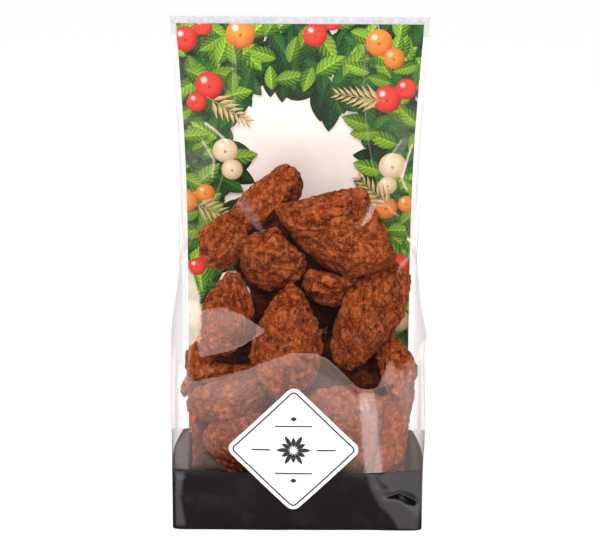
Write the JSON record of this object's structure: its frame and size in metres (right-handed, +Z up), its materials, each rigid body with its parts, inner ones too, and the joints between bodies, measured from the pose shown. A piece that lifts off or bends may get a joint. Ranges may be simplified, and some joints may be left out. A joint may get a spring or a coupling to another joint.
{
  "type": "bag of chocolate truffles",
  "caption": "Clear sealed block-bottomed bag filled with irregular cocoa-dusted chocolate truffles, printed back, dark base band and a blank white diamond label, standing upright.",
  "frame": {"origin": "middle of the bag's flat bottom", "axes": "+Z up, -Y towards the front with the label, +X to the right seen from the front"},
  "size_m": [0.081, 0.0483, 0.1595],
  "materials": {
    "clear_film": "clear glossy film over cocoa-dusted truffles",
    "white_label": "smooth white print with a thin dark line",
    "cocoa_truffle": "rough chocolate dusted with cocoa powder, matt",
    "printed_back": "pale cream film printed with leaves and berries",
    "dark_band": "near-black print on glossy film"
  },
  "bodies": {
    "root": {"bag": "clear_film", "label": "white_label"}
  },
  "joints": []
}
